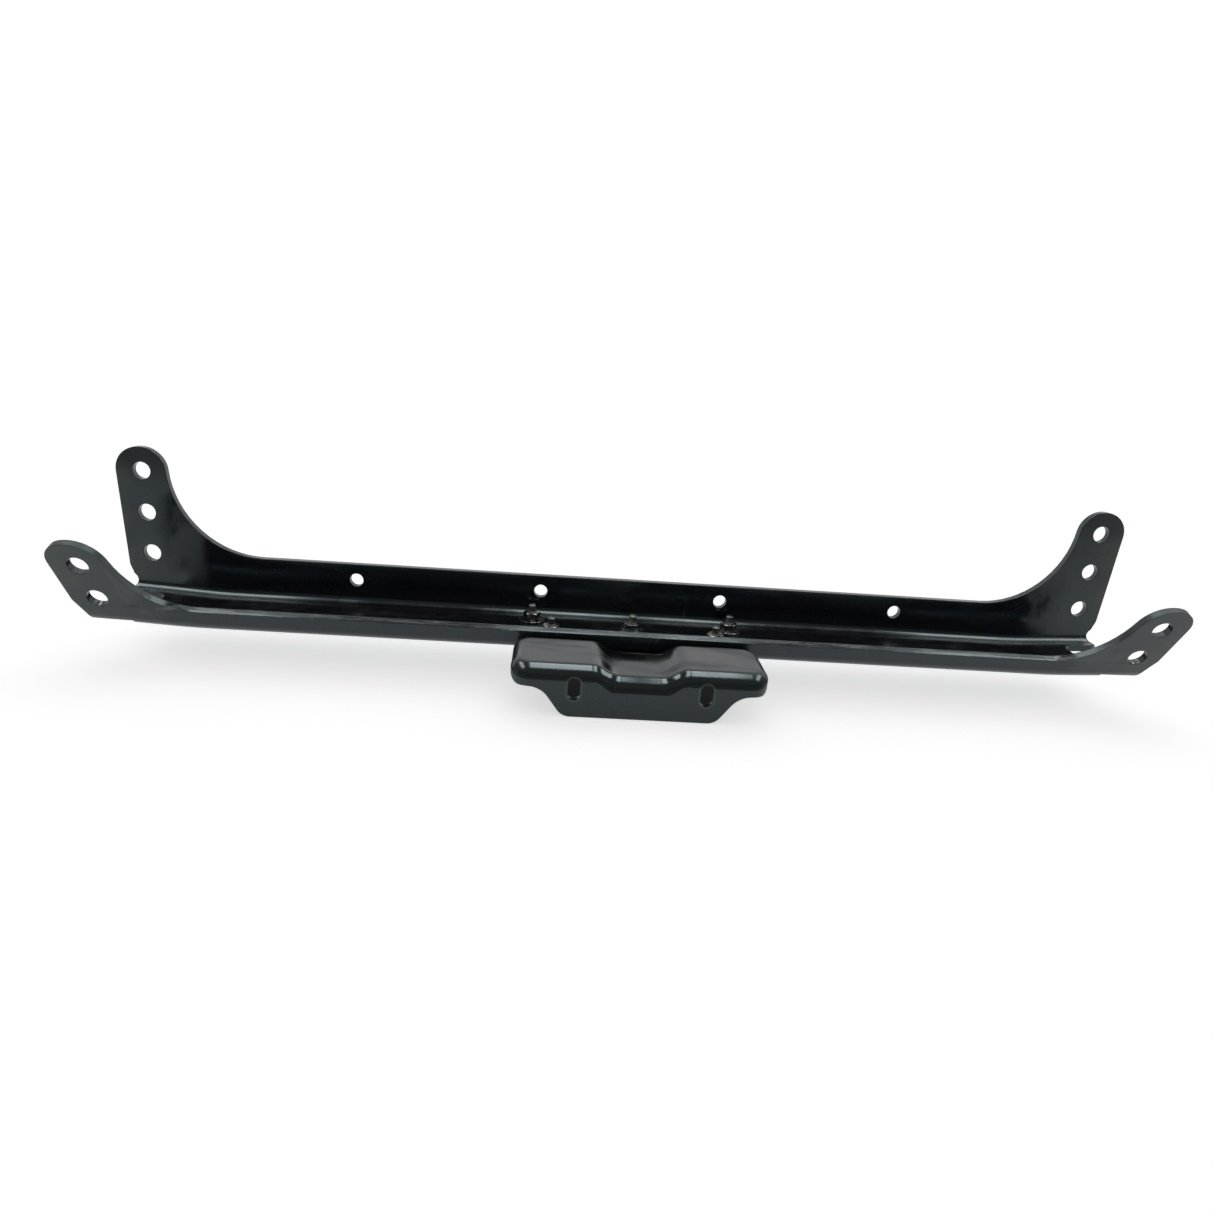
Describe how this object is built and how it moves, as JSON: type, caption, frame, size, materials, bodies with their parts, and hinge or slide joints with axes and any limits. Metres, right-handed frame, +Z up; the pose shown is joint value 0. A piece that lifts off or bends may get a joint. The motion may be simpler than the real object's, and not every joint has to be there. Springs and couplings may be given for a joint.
{
  "type": "chassis crossmember",
  "caption": "Pressed-steel channel crossmember with tall bolt-up ears at both ends and a bolted centre support bracket with upright slots.",
  "frame": {"origin": "centre of the middle holes of the two rear ears, on the rear flange's rear face", "axes": "+X across the vehicle to the right as seen from the front, +Y to the rear out of the rear flange, +Z up"},
  "size_m": [0.8828, 0.1487, 0.1547],
  "materials": {
    "channel_paint": "gloss black coating over pressed steel, worn at the edges",
    "bracket_paint": "satin black coating over pressed steel",
    "bolt_steel": "dull dark zinc",
    "nut_steel": "black zinc"
  },
  "bodies": {
    "root": {"crossmember_channel": "channel_paint", "support_bracket": "bracket_paint", "bolt_rear_left": "bolt_steel", "nut_rear_left": "nut_steel", "washer_rear_left": "nut_steel", "bolt_rear_right": "bolt_steel", "nut_rear_right": "nut_steel", "washer_rear_right": "nut_steel", "bolt_front_left": "bolt_steel", "nut_front_left": "nut_steel", "washer_front_left": "nut_steel", "bolt_front_right": "bolt_steel", "nut_front_right": "nut_steel", "washer_front_right": "nut_steel", "bolt_centre": "bolt_steel", "nut_centre": "nut_steel", "washer_centre": "nut_steel"}
  },
  "joints": []
}
